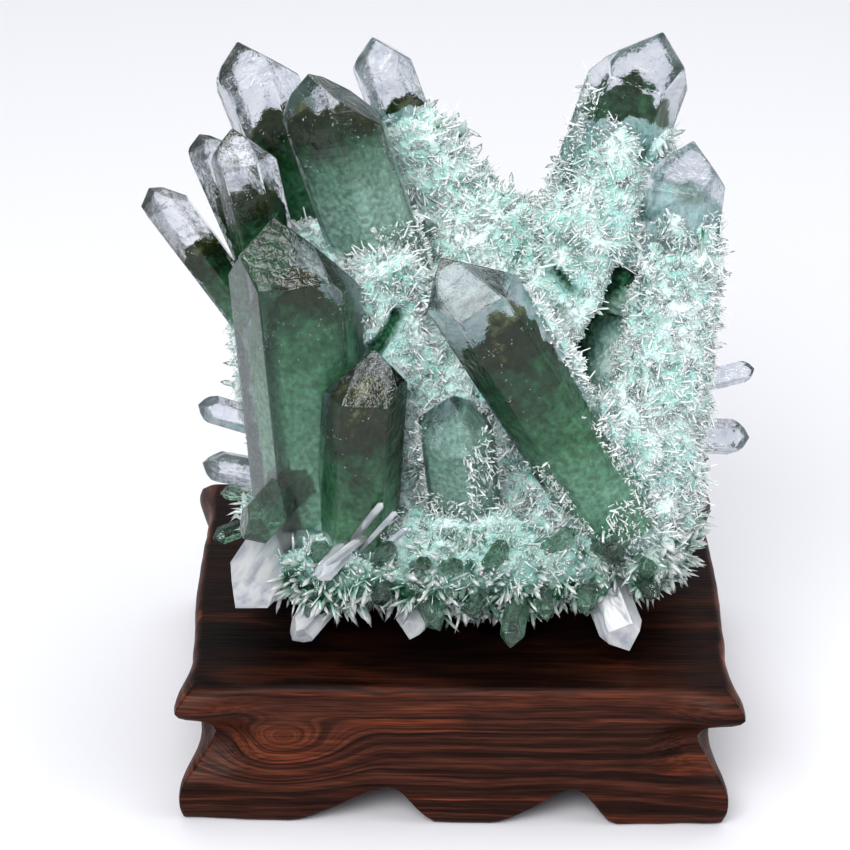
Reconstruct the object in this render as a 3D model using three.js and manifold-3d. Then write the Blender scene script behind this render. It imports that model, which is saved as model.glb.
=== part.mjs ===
// A cluster of green phantom quartz on a carved hardwood stand.
// The cluster grew as one piece: long six-sided points fan out of a bed that is crusted with
// fine needle quartz. It rests by its own weight on the flat top of the stand.
// Millimetres, +Z up, -Y is the front. The origin is on the table, under the middle of the stand.
import * as THREE from "three";
import Module from "manifold-3d";
import { ConvexGeometry } from "three/addons/geometries/ConvexGeometry.js";
import { mergeVertices } from "three/addons/utils/BufferGeometryUtils.js";

const wasm = await Module();
wasm.setup();

// Stand
const STAND_WIDTH = 148;
const STAND_DEPTH = 111;
const STAND_HEIGHT = 41;
const STAND_LEAN = 1.4; // how far the top sits to the right of the feet
const SIDE_BULGE = 0.13; // how much narrower the ends of a side are than its middle
const FRONT_BULGE = 0.03;
const ARCH_HEIGHT = 10.5;
const SIDE_ARCH_WIDTH = 58;
const FRONT_ARCHES = [
  { left: -45, right: -4.6 },
  { left: 10, right: 44.5 },
];
const CORNER_ZONE_X = [0.7, 0.97]; // where the faces turn into the knobs, as shares of half the width
const CORNER_ZONE_Y = [0.66, 0.97];
const CARVED_ZONE = [0.5, 1]; // how far in from the sides the carving bends the block
const CORNER_CROWDING = 1.5; // how much finer the block is divided towards its corners

// Cluster
const REST_GAP = 0.3; // between the stand's top and the flat the cluster sits on
const REST_HEIGHT = STAND_HEIGHT + REST_GAP;
const BED_ROUGHNESS = 2.4; // how far the bed's surface jumps in and out
const SPIKE_LENGTH = 8;
const SPIKE_WIDTH = 3.4;
const SPIKE_SINK = 3; // how deep a spike's foot is in the bed
const SIZE_SPREAD = 0.3; // the sizes of spikes, over and under the usual
const SPIKE_LEAN = 0.9;
const SPIKES_PER_CM2 = 0.5;
const RIM_WIDTH = 3.4; // the slimmest little point of the lower edge; the stoutest has twice that
const RIM_FLAT = 0.85;
const FLOOR_CLEARANCE = 1; // how far above the flat the rim's tips stay
const BURIED_MARGIN = 1; // how deep in another body a spike's foot has to be to be left out
const SWELL = 0.08; // how much a lump's slow waviness adds to its radii

// Where the random numbers of each group of pieces start.
const SEEDS = { lump: 11, coat: 31, rim: 71, lumpSpikes: 101, coatSpikes: 501 };

// The tip faces of a quartz point stand at 38 degrees to its long axis.
const TIP_FACE_ANGLE = THREE.MathUtils.degToRad(38.2);

const WOOD = new THREE.MeshStandardMaterial({ color: 0x3a1f16, roughness: 0.45, metalness: 0 });
const QUARTZ = new THREE.MeshStandardMaterial({ color: 0x8fb8a4, roughness: 0.2, metalness: 0 });

// The large points. root is the middle of the buried end and tip the end of the axis; apex moves
// the summit off the axis, across and away from the front. flat is the thickness over the width,
// turn the turn about the axis, and minor how far every second tip face stays back, as a share of
// the width.
const POINTS = [
  {
    name: "front_left_giant", root: [-35, -19, 56], tip: [-44, -15, 158],
    width: 32, flat: 0.72, turn: 36, apex: [-4, 0], minor: 0.2,
  },
  {
    name: "front_left_twin", root: [-27, -25, 58], tip: [-24, -33, 129],
    width: 19.5, flat: 0.85, turn: 31, apex: [2, 1], minor: 0.15,
  },
  {
    name: "front_stub", root: [3, -16, 68], tip: [-2, -31, 115],
    width: 19, flat: 0.85, turn: 5, apex: [-1, 0], minor: 0.1,
  },
  {
    name: "front_leaning", root: [46, -21, 68], tip: [-4, -27, 153],
    width: 22, flat: 0.85, turn: 39, apex: [-2, 1], minor: 0.12,
  },
  {
    name: "back_left_lookout", root: [-36, 20, 132], tip: [-58, 26, 189],
    width: 20, flat: 0.85, turn: 25, apex: [-1, 0], minor: 0.2,
  },
  {
    name: "back_left_giant", root: [-10, 4, 104], tip: [-38, 8, 188],
    width: 24, flat: 0.8, turn: 4, apex: [-2, 0], minor: 0.15,
  },
  {
    name: "top_small", root: [-4, 32, 132], tip: [-24, 34, 187],
    width: 14.5, flat: 0.9, turn: 20, apex: [0, 1], minor: 0.25,
  },
  {
    name: "left_short", root: [-48, 4, 124], tip: [-67, 7, 171],
    width: 11, flat: 0.85, turn: 0, apex: [-1, 0], minor: 0.2,
  },
  {
    name: "left_middle", root: [-46, 1, 118], tip: [-58, -1, 176],
    width: 15, flat: 0.9, turn: 28, apex: [-1, 0], minor: 0.15,
  },
  {
    name: "left_outer", root: [-49, 2, 112], tip: [-80, 2, 158],
    width: 11, flat: 0.85, turn: 12, apex: [-1, 0], minor: 0.25,
  },
  {
    name: "right_tall", root: [19, 8, 98], tip: [49, 17, 197],
    width: 23.5, flat: 0.85, turn: 22, apex: [2, 0], minor: 0.3,
  },
  {
    name: "right_outer", root: [50, -4, 66], tip: [58, 4, 172],
    width: 19.5, flat: 0.9, turn: 12, apex: [1, 0], minor: 0.2,
  },
  {
    name: "back_fan_left", root: [-26, 22, 74], tip: [-47, 46, 139],
    width: 17, flat: 0.85, turn: 15, apex: [0, 2], minor: 0.2,
  },
  {
    name: "back_fan_middle", root: [-2, 22, 72], tip: [-8, 52, 141],
    width: 20, flat: 0.8, turn: 5, apex: [1, 1], minor: 0.15,
  },
  {
    name: "back_fan_right", root: [26, 22, 70], tip: [36, 49, 133],
    width: 16, flat: 0.85, turn: 25, apex: [0, 2], minor: 0.2,
  },
  {
    name: "back_low_right", root: [10, 26, 60], tip: [14, 55, 98],
    width: 12, flat: 0.9, turn: 10, minor: 0.2,
  },
  {
    name: "back_low_left", root: [-36, 22, 64], tip: [-52, 46, 92],
    width: 11, flat: 0.9, turn: 40, minor: 0.2,
  },
];

// The small clear points, one by one, round the lower edge and up the sides.
const SMALL_POINTS = [
  {
    name: "low_left_chunk", root: [-44, -20, 70], tip: [-58, -36, 54],
    width: 15, flat: 0.8, turn: 30, minor: 0.3,
  },
  {
    name: "low_left_blade", root: [-26, -22, 60], tip: [-43, -39, 46],
    width: 8, flat: 0.7, turn: 10, minor: 0.2,
  },
  {
    name: "low_right_foot", root: [36, -18, 62], tip: [46, -39, 44],
    width: 11, flat: 0.8, turn: 20, minor: 0.3,
  },
  {
    name: "low_bright_bar", root: [-24, -26, 74], tip: [-36, -44, 68],
    width: 5, flat: 0.8, turn: 0, minor: 0.1,
  },
  {
    name: "low_middle", root: [-10, -20, 62], tip: [-12, -38, 46],
    width: 8, flat: 0.8, turn: 15, minor: 0.2,
  },
  {
    name: "low_dark_block", root: [-41, -22, 87], tip: [-55.5, -39, 77],
    width: 10.5, flat: 0.8, turn: 20, minor: 0.3,
  },
  {
    name: "left_bud", root: [-54, -3, 92], tip: [-69, -5, 98],
    width: 7, flat: 0.9, turn: 0, minor: 0.2,
  },
  {
    name: "left_low_bud", root: [-54, -6, 78], tip: [-68, -8, 82],
    width: 8, flat: 0.9, turn: 20, minor: 0.2,
  },
  {
    name: "right_bud", root: [48, 6, 85], tip: [80, 10, 82],
    width: 9, flat: 0.9, turn: 10, minor: 0.2,
  },
  {
    name: "right_twig", root: [46, 8, 94], tip: [80.5, 14, 101],
    width: 5.5, flat: 0.9, turn: 0, minor: 0.2,
  },
];

// The bed and the coated crystals, out to the ends of most of their needles. A lump is an
// ellipsoid and a coat a tapering rod with round ends.
const LUMPS = [
  { name: "base", at: [1, 3, 62], radii: [62, 39, 26], detail: 3 },
  { name: "apron", at: [4, -14, 63], radii: [55, 29, 20], detail: 3 },
  { name: "left_collar", at: [-30, -21, 63], radii: [25, 21, 18], detail: 2 },
  { name: "core", at: [1, 5, 92], radii: [52, 30, 46], detail: 3 },
  { name: "left_shoulder", at: [-37, 8, 108], radii: [27, 20, 42], detail: 2 },
  { name: "right_of_middle", at: [36, -9, 80], radii: [27, 21, 36], detail: 2 },
  { name: "notch_floor", at: [8, 18, 126], radii: [24, 17, 29], detail: 2 },
  { name: "leaning_foot", at: [48, -20, 64], radii: [15, 15.5, 15.5], detail: 2 },
];
const COATS = [
  { name: "saddle", from: [12, 24, 120], to: [-13, 33, 158], start: 18, end: 13 },
  { name: "right_tall", from: [22, 8, 100], to: [41, 14, 165], start: 20, end: 13.5 },
  { name: "right_outer", from: [49, -4, 64], to: [57, 2, 148], start: 17, end: 10.5 },
  { name: "white_mound", from: [-13, -8, 94], to: [-20, -6, 134], start: 15, end: 12 },
  { name: "leaning_side", from: [49, -16, 76], to: [14, -20, 136], start: 10.5, end: 7 },
];

// Stout little points round the lower edge: angles from +X towards +Y, heights from -1 to 1.
const RIM = [
  { on: "base", from: -15, to: 195, low: -0.6, high: 0.2, count: 14 },
  { on: "apron", from: 195, to: 345, low: -0.55, high: 0, count: 11 },
  { on: "apron", from: 200, to: 340, low: 0.1, high: 0.7, count: 9 },
];

// Repeatable random numbers from 0 to 1.
function randomFrom(seed) {
  let state = seed;
  return () => {
    state = (state * 16807) % 2147483647;
    return state / 2147483647;
  };
}

const vec = (p) => new THREE.Vector3(...p);

// A geometry's bare shape, with each corner stored once.
function welded(geometry) {
  const bare = geometry.clone();
  bare.deleteAttribute("normal");
  bare.deleteAttribute("uv");
  return mergeVertices(bare, 1e-4);
}

// A closed geometry as a manifold-3d solid.
function solid(geometry) {
  const merged = welded(geometry);
  return new wasm.Manifold(
    new wasm.Mesh({
      numProp: 3,
      vertProperties: new Float32Array(merged.attributes.position.array),
      triVerts: new Uint32Array(merged.index.array),
    }),
  );
}

// A manifold-3d solid as a geometry with flat faces.
function geometryOf(made) {
  const mesh = made.getMesh();
  const indexed = new THREE.BufferGeometry();
  indexed.setAttribute("position", new THREE.BufferAttribute(new Float32Array(mesh.vertProperties), 3));
  indexed.setIndex(new THREE.BufferAttribute(new Uint32Array(mesh.triVerts), 1));
  const flat = indexed.toNonIndexed();
  flat.computeVertexNormals();
  return flat;
}

// The planes of one quartz point: six prism faces, the root and six tip faces.
function pointPlanes({ root, tip, width, flat, turn, apex = [0, 0], minor }) {
  const foot = vec(root);
  const end = vec(tip);
  const axis = end.clone().sub(foot).normalize();
  const away = new THREE.Vector3(0, 1, 0).addScaledVector(axis, -axis.y).normalize();
  const across = new THREE.Vector3().crossVectors(away, axis);
  const summit = end.clone().addScaledVector(across, apex[0]).addScaledVector(away, apex[1]);
  const planes = [new THREE.Plane().setFromNormalAndCoplanarPoint(axis.clone().negate(), foot)];
  for (let k = 0; k < 6; k++) {
    const angle = THREE.MathUtils.degToRad(turn + 60 * k);
    const out = across.clone().multiplyScalar(Math.cos(angle)).addScaledVector(away, Math.sin(angle));
    const facing = Math.sin(angle) ** 2; // 1 on the faces towards the front and the back
    const reach = (width / 2) * (1 - (1 - flat) * facing);
    const side = foot.clone().addScaledVector(out, reach);
    planes.push(new THREE.Plane().setFromNormalAndCoplanarPoint(out, side));
    const slope = out.clone().multiplyScalar(Math.cos(TIP_FACE_ANGLE));
    slope.addScaledVector(axis, Math.sin(TIP_FACE_ANGLE));
    const back = k % 2 ? minor * width : 0;
    const through = summit.clone().addScaledVector(axis, back);
    planes.push(new THREE.Plane().setFromNormalAndCoplanarPoint(slope, through));
  }
  return planes;
}

const within = (planes, p, slack = 0) => planes.every((plane) => plane.distanceToPoint(p) <= slack);

// The solid that lies behind all of the planes.
function behind(planes) {
  const corners = [];
  const push = (p) => {
    if (within(planes, p, 1e-5) && corners.every((c) => c.distanceTo(p) > 1e-3)) corners.push(p);
  };
  const cross = (a, b) => new THREE.Vector3().crossVectors(a.normal, b.normal);
  planes.forEach((a, i) =>
    planes.slice(i + 1).forEach((b, j) =>
      planes.slice(i + j + 2).forEach((c) => {
        const det = a.normal.dot(cross(b, c));
        if (Math.abs(det) < 1e-6) return;
        const sum = cross(b, c).multiplyScalar(-a.constant);
        sum.addScaledVector(cross(c, a), -b.constant).addScaledVector(cross(a, b), -c.constant);
        push(sum.divideScalar(det));
      }),
    ),
  );
  return new ConvexGeometry(corners);
}

const quartzPoint = (spec) => solid(behind(pointPlanes(spec)));

// Moves each vertex of a geometry to where the function says.
function reshape(geometry, move) {
  const at = geometry.getAttribute("position");
  const p = new THREE.Vector3();
  for (let i = 0; i < at.count; i++) {
    move(p.fromBufferAttribute(at, i));
    at.setXYZ(i, p.x, p.y, p.z);
  }
  return geometry;
}

// A slow waviness that makes the bed lumpy.
const waves = (p) => Math.sin(p.x * 0.21 + 1.3) * Math.sin(p.y * 0.27 + 0.4) * Math.sin(p.z * 0.19 + 2.1);

function lump({ at, radii, detail }, seed) {
  const centre = vec(at);
  const random = randomFrom(seed);
  const ball = welded(new THREE.IcosahedronGeometry(1, detail));
  return solid(
    reshape(ball, (p) => {
      const out = p.clone();
      p.multiply(vec(radii));
      const swell = 1 + SWELL * waves(p.clone().add(centre));
      p.multiplyScalar(swell).addScaledVector(out, BED_ROUGHNESS * (random() - 0.5)).add(centre);
    }),
  );
}

function coat({ from, to, start, end }, seed) {
  const foot = vec(from);
  const along = vec(to).sub(foot);
  const length = along.length();
  const random = randomFrom(seed);
  const lengthwise = new THREE.Vector3(0, 1, 0);
  const upright = new THREE.Quaternion().setFromUnitVectors(lengthwise, along.clone().normalize());
  const rod = welded(new THREE.CapsuleGeometry(1, length, 2, 9, 5));
  return solid(
    reshape(rod, (p) => {
      const share = THREE.MathUtils.clamp(p.y / length + 0.5, 0, 1);
      const radius = THREE.MathUtils.lerp(start, end, share) + BED_ROUGHNESS * (random() - 0.5);
      const cap = p.y - (share - 0.5) * length;
      p.set(p.x * radius, share * length + cap * radius, p.z * radius);
      p.applyQuaternion(upright).add(foot);
    }),
  );
}

// True if a point lies inside a lump or a coat, or less than margin outside it.
function inLump({ at, radii }, p, margin) {
  return p.clone().sub(vec(at)).divide(vec(radii).addScalar(margin)).length() < 1;
}
function inCoat({ from, to, start, end }, p, margin) {
  const line = new THREE.Line3(vec(from), vec(to));
  const share = line.closestPointToPointParameter(p, true);
  const radius = THREE.MathUtils.lerp(start, end, share);
  return line.at(share, new THREE.Vector3()).distanceTo(p) < radius + margin;
}

// One needle of the crust, made large enough to show: a slim three-sided spike.
function spike(foot, direction, length, width) {
  const shape = new THREE.ConeGeometry(width / 2, length, 3);
  shape.translate(0, length / 2, 0);
  shape.applyQuaternion(new THREE.Quaternion().setFromUnitVectors(new THREE.Vector3(0, 1, 0), direction));
  shape.translate(foot.x, foot.y, foot.z);
  return solid(shape);
}

// Spikes all over one body of the crust, apart from where another body or a large point is.
function spikesOn(body, place, area, buried, seed) {
  const random = randomFrom(seed);
  const made = [];
  const count = Math.round((area / 100) * SPIKES_PER_CM2);
  for (let i = 0; i < count; i++) {
    const { at, out } = place(body, random);
    const tilt = new THREE.Vector3(random() - 0.5, random() - 0.5, random() - 0.5);
    const length = SPIKE_LENGTH * (1 + SIZE_SPREAD * (2 * random() - 1));
    const width = SPIKE_WIDTH * (1 + SIZE_SPREAD * (2 * random() - 1));
    if (at.z < REST_HEIGHT + SPIKE_SINK || buried(body, at)) continue;
    const direction = out.clone().addScaledVector(tilt, SPIKE_LEAN).normalize();
    made.push(spike(at.clone().addScaledVector(direction, -SPIKE_SINK), direction, length, width));
  }
  return made;
}

function placeOnLump({ at, radii }, random) {
  const height = 2 * random() - 1;
  const angle = 2 * Math.PI * random();
  const ring = Math.sqrt(1 - height * height);
  const unit = new THREE.Vector3(ring * Math.cos(angle), ring * Math.sin(angle), height);
  const out = unit.clone().divide(vec(radii)).normalize();
  return { at: unit.multiply(vec(radii)).add(vec(at)), out };
}

function placeOnCoat({ from, to, start, end }, random) {
  const axis = vec(to).sub(vec(from));
  const share = random();
  const side = new THREE.Vector3(0, 1, 0).cross(axis).normalize();
  const out = side.applyAxisAngle(axis.clone().normalize(), 2 * Math.PI * random());
  const middle = vec(from).addScaledVector(axis, share);
  return { at: middle.addScaledVector(out, THREE.MathUtils.lerp(start, end, share)), out };
}

// An ellipsoid's area, by Thomsen's rule.
function lumpArea({ radii: [a, b, c] }) {
  const POWER = 1.6;
  const mean = ((a * b) ** POWER + (a * c) ** POWER + (b * c) ** POWER) / 3;
  return 4 * Math.PI * mean ** (1 / POWER);
}

const coatArea = ({ from, to, start, end }) => Math.PI * (start + end) * vec(from).distanceTo(vec(to));

// Short stout points that stick out of a lump, fanwise from one angle about +Z to the other.
function rimPoints(body, { from, to, low, high, count }, seed) {
  const random = randomFrom(seed);
  const made = [];
  for (let i = 0; i < count; i++) {
    const angle = THREE.MathUtils.degToRad(THREE.MathUtils.lerp(from, to, (i + 0.7 * random()) / count));
    const height = THREE.MathUtils.lerp(low, high, random());
    const ring = Math.sqrt(1 - height * height);
    const unit = new THREE.Vector3(ring * Math.cos(angle), ring * Math.sin(angle), height);
    const at = unit.clone().multiply(vec(body.radii)).add(vec(body.at));
    const out = unit.clone().divide(vec(body.radii)).normalize();
    out.add(new THREE.Vector3(random() - 0.5, random() - 0.5, 0.7 * (random() - 0.5))).normalize();
    const width = RIM_WIDTH * (1 + random());
    const tip = at.clone().addScaledVector(out, width * (1 + 0.8 * random())).toArray();
    const root = at.clone().addScaledVector(out, -2 * width).toArray();
    if (tip[2] < REST_HEIGHT + FLOOR_CLEARANCE) continue;
    const turn = 60 * random();
    made.push(quartzPoint({ root, tip, width, flat: RIM_FLAT, turn, minor: 0 }));
  }
  return made;
}

function quartzCluster() {
  const planes = POINTS.map(pointPlanes);
  const buried = (self, p) =>
    LUMPS.some((l) => l !== self && inLump(l, p, -BURIED_MARGIN)) ||
    COATS.some((c) => c !== self && inCoat(c, p, -BURIED_MARGIN)) ||
    planes.some((set) => within(set, p, BURIED_MARGIN));
  const crust = [
    ...LUMPS.flatMap((l, i) => spikesOn(l, placeOnLump, lumpArea(l), buried, SEEDS.lumpSpikes + i)),
    ...COATS.flatMap((c, i) => spikesOn(c, placeOnCoat, coatArea(c), buried, SEEDS.coatSpikes + i)),
  ];
  const lumps = LUMPS.map((l, i) => lump(l, SEEDS.lump + i));
  const coats = COATS.map((c, i) => coat(c, SEEDS.coat + i));
  const rim = RIM.flatMap((r, i) => rimPoints(LUMPS.find((l) => l.name === r.on), r, SEEDS.rim + i));
  const bodies = [...lumps, ...coats, ...crust, ...rim];
  const points = [...POINTS, ...SMALL_POINTS].map(quartzPoint);
  const whole = [...points, ...bodies].reduce((sum, next) => sum.add(next));
  const below = new THREE.BoxGeometry(2 * STAND_WIDTH, 2 * STAND_DEPTH, 2 * STAND_HEIGHT);
  below.translate(0, 0, REST_HEIGHT - STAND_HEIGHT);
  return outerSkin(whole.subtract(solid(below)));
}

// The largest closed skin of a solid, which leaves out the closed pockets between its pieces.
function outerSkin(made) {
  return made.decompose().reduce((a, b) => (b.volume() > a.volume() ? b : a));
}

// How far the carved face stands out of the plain block, in mm, from the foot (0) to the top (1).
const profile = (stops) => new THREE.SplineCurve(stops.map((stop) => new THREE.Vector2(...stop)));
const CORNER_PROFILE = profile([
  [0, 0.4],
  [0.14, 1.7],
  [0.27, 0.6],
  [0.4, -3.8],
  [0.55, -7.6],
  [0.67, -4.8],
  [0.77, 0.6],
  [0.86, 3.4],
  [0.94, 1],
  [1, -1.4],
]);
const FRONT_PROFILE = profile([
  [0, 1],
  [0.15, 1.4],
  [0.4, -1.4],
  [0.6, -2.2],
  [0.85, -1.2],
  [0.95, -1.2],
  [1, -2.2],
]);
const SIDE_PROFILE = profile([
  [0, -5],
  [0.3, -5],
  [0.6, -3.6],
  [0.85, -2.2],
  [0.95, -2.2],
  [1, -3.2],
]);

const PROFILES = [CORNER_PROFILE, FRONT_PROFILE, SIDE_PROFILE];

// The profile's value at a height, found by stepping along its curve.
function profileAt(curve, height) {
  const STEPS = 200;
  for (let i = 1; i <= STEPS; i++) {
    const p = curve.getPoint(i / STEPS);
    if (p.x >= height - 1e-6) return p.y;
  }
  return curve.getPoint(1).y;
}

// A tunnel through the underside, from a lengthwise outline.
function tunnel(shape, length, turn) {
  const settings = { depth: length, bevelEnabled: false, curveSegments: 5 };
  const geometry = new THREE.ExtrudeGeometry(shape, settings);
  geometry.translate(0, 0, -length / 2).rotateX(Math.PI / 2).rotateZ(turn);
  return solid(geometry);
}

// The front arches climb gently from the left and drop steeply on the right.
function frontArch({ left, right }, height) {
  const climb = (right - left) * 0.64;
  const peak = left + climb;
  const shape = new THREE.Shape();
  shape.moveTo(left, -1);
  shape.lineTo(left, 0);
  shape.bezierCurveTo(left + climb * 0.5, 0, left + climb * 0.35, height * 0.62, peak - 6, height * 0.82);
  shape.quadraticCurveTo(peak, height * 1.15, peak + 5.5, height * 0.86);
  shape.bezierCurveTo(right - 5, height * 0.6, right - 4, 0, right, 0);
  shape.lineTo(right, -1);
  shape.closePath();
  return shape;
}

function sideArch(width, height) {
  const half = width / 2;
  const shape = new THREE.Shape();
  shape.moveTo(-half, -1);
  shape.lineTo(-half, 0);
  shape.bezierCurveTo(-half + 8, 0, -half + 6, height, -half + 18, height);
  shape.lineTo(half - 18, height);
  shape.bezierCurveTo(half - 6, height, half - 8, 0, half, 0);
  shape.lineTo(half, -1);
  shape.closePath();
  return shape;
}

function carvedStand() {
  const block = new THREE.BoxGeometry(2, 2, 1, 14, 10, 8);
  const crowd = (t) => Math.sign(t) * (1 - (1 - Math.abs(t)) ** CORNER_CROWDING);
  const heights = new Map();
  reshape(block, (p) => {
    const x = crowd(p.x);
    const y = crowd(p.y);
    const z = p.z + 0.5;
    const key = z.toFixed(4);
    if (!heights.has(key)) heights.set(key, PROFILES.map((curve) => profileAt(curve, z)));
    const [corner, front, side] = heights.get(key);
    const nearX = THREE.MathUtils.smoothstep(Math.abs(x), ...CORNER_ZONE_X);
    const nearY = THREE.MathUtils.smoothstep(Math.abs(y), ...CORNER_ZONE_Y);
    const cornerness = nearX * nearY;
    const plain = Math.abs(y) > Math.abs(x) ? front : side;
    const outmost = Math.max(Math.abs(x), Math.abs(y));
    const share = THREE.MathUtils.smoothstep(outmost, ...CARVED_ZONE);
    const out = THREE.MathUtils.lerp(plain, corner, cornerness) * share;
    const roundX = 1 - SIDE_BULGE * (1 - Math.sqrt(1 - (y * y) / 2));
    const roundY = 1 - FRONT_BULGE * (1 - Math.sqrt(1 - (x * x) / 2));
    p.set(
      x * roundX * (STAND_WIDTH / 2 + out) + STAND_LEAN * z,
      y * roundY * (STAND_DEPTH / 2 + out),
      z * STAND_HEIGHT,
    );
  });
  const arches = [
    ...FRONT_ARCHES.map((arch) => tunnel(frontArch(arch, ARCH_HEIGHT), 2 * STAND_DEPTH, 0)),
    tunnel(sideArch(SIDE_ARCH_WIDTH, ARCH_HEIGHT), 2 * STAND_WIDTH, Math.PI / 2),
  ];
  return arches.reduce((body, arch) => body.subtract(arch), solid(block));
}

function part(name, made, material) {
  const mesh = new THREE.Mesh(geometryOf(made), material);
  mesh.name = name;
  return mesh;
}

const whole = new THREE.Group();
whole.add(part("wooden_stand", carvedStand(), WOOD));
whole.add(part("quartz_cluster", quartzCluster(), QUARTZ));

export default whole;
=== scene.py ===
"""A cluster of green phantom quartz on a carved hardwood stand.

Sizes in the tables are millimetres, as a maker would note them; meshes are made in millimetres
and turned to metres when they become objects. +Z is up and -Y is the front.
"""
import math

import bmesh
import bpy
import numpy as np
from mathutils import Matrix, Vector, noise


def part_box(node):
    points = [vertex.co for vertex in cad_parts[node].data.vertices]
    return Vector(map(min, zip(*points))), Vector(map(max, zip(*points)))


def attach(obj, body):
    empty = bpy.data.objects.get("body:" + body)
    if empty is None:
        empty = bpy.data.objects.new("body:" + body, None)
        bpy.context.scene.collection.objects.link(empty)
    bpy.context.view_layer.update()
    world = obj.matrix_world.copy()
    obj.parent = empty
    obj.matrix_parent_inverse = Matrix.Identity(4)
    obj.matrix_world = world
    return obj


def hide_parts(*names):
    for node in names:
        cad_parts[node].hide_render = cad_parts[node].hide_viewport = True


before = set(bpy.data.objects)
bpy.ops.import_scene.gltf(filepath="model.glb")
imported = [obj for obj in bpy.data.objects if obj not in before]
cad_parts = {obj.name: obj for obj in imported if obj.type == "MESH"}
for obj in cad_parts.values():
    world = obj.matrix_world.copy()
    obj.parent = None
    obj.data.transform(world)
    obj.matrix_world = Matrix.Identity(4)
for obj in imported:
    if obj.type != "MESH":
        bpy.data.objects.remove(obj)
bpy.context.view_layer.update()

MM = 0.001
STAND_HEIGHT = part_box("wooden_stand")[1].z / MM
REST_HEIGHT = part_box("quartz_cluster")[0].z / MM
TIP_FACE_ANGLE = math.radians(38.2)
QUARTZ_IOR = 1.544

# The large points. root is the middle of the buried end and tip the end of the axis; apex moves
# the summit off the axis, across and away from the front. flat is the thickness over the width,
# turn the turn about the axis, and minor how far every second tip face stays back. ghosts are
# the green phantoms inside: the shift across, the clear length above and the share of the width.
# Their dust pales over the length fade, starts so much paler with age, and turns cloudy with milk.
# A veiled point has milky faces on its left.
POINTS = [
    dict(name="front_left_giant", root=(-35, -19, 56), tip=(-44, -15, 158), width=32, flat=0.72, turn=36,
         apex=(-4, 0), minor=0.2, ghosts=[(1.5, 14, 0.5), (5.5, 18, 0.42), (1.0, 22, 0.62)], fade=60, veiled=True),
    dict(name="front_left_twin", root=(-27, -25, 58), tip=(-24, -33, 129), width=19.5, flat=0.85, turn=31,
         apex=(2, 1), minor=0.15, ghosts=[(0.5, 7, 0.82)], milk=0.0, fade=130),
    dict(name="front_stub", root=(3, -16, 68), tip=(-2, -31, 115), width=19, flat=0.85, turn=5,
         apex=(-1, 0), minor=0.1, ghosts=[(0, 6, 0.8)], milk=0.75, age=0.4),
    dict(name="front_leaning", root=(46, -21, 68), tip=(-4, -27, 153), width=22, flat=0.85, turn=39,
         apex=(-2, 1), minor=0.12, ghosts=[(-4.5, 23, 0.44), (3.2, 18, 0.52), (0, 32, 0.8)], milk=0.0, fade=120),
    dict(name="back_left_lookout", root=(-36, 20, 132), tip=(-58, 26, 189), width=20, flat=0.85, turn=25,
         apex=(-1, 0), minor=0.2, ghosts=[(0.5, 18, 0.7)]),
    dict(name="back_left_giant", root=(-10, 4, 104), tip=(-38, 8, 188), width=24, flat=0.8, turn=4,
         apex=(-2, 0), minor=0.15, ghosts=[(-5.0, 8, 0.38), (4.5, 9, 0.44), (0, 21, 0.84)], milk=0.95),
    dict(name="top_small", root=(-4, 32, 132), tip=(-24, 34, 187), width=14.5, flat=0.9, turn=20,
         apex=(0, 1), minor=0.25, ghosts=[(1, 16, 0.6)]),
    dict(name="left_short", root=(-48, 4, 124), tip=(-67, 7, 171), width=11, flat=0.85, turn=0,
         apex=(-1, 0), minor=0.2, ghosts=[(0, 14, 0.7)]),
    dict(name="left_middle", root=(-46, 1, 118), tip=(-58, -1, 176), width=15, flat=0.9, turn=28,
         apex=(-1, 0), minor=0.15, ghosts=[(0, 15, 0.78)]),
    dict(name="left_outer", root=(-49, 2, 112), tip=(-80, 2, 158), width=11, flat=0.85, turn=12,
         apex=(-1, 0), minor=0.25, ghosts=[(0, 17, 0.75)]),
    dict(name="right_tall", root=(19, 8, 98), tip=(49, 17, 197), width=23.5, flat=0.85, turn=22,
         apex=(2, 0), minor=0.3, ghosts=[(-2, 13, 0.6), (3, 16, 0.5), (0, 22, 0.84)], age=0.08),
    dict(name="right_outer", root=(50, -4, 66), tip=(58, 4, 172), width=19.5, flat=0.9, turn=12,
         apex=(1, 0), minor=0.2, ghosts=[(0, 27, 0.7)], milk=0.7, age=0.4),
    dict(name="back_fan_left", root=(-26, 22, 74), tip=(-47, 46, 139), width=17, flat=0.85, turn=15,
         apex=(0, 2), minor=0.2, ghosts=[(0, 13, 0.8)]),
    dict(name="back_fan_middle", root=(-2, 22, 72), tip=(-8, 52, 141), width=20, flat=0.8, turn=5,
         apex=(1, 1), minor=0.15, ghosts=[(-3.5, 14, 0.45), (3, 18, 0.5), (0, 24, 0.84)]),
    dict(name="back_fan_right", root=(26, 22, 70), tip=(36, 49, 133), width=16, flat=0.85, turn=25,
         apex=(0, 2), minor=0.2, ghosts=[(0, 12, 0.8)]),
    dict(name="back_low_right", root=(10, 26, 60), tip=(14, 55, 98), width=12, flat=0.9, turn=10,
         minor=0.2, ghosts=[(0, 9, 0.75)]),
    dict(name="back_low_left", root=(-36, 22, 64), tip=(-52, 46, 92), width=11, flat=0.9, turn=40,
         minor=0.2, ghosts=[]),
]

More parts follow.
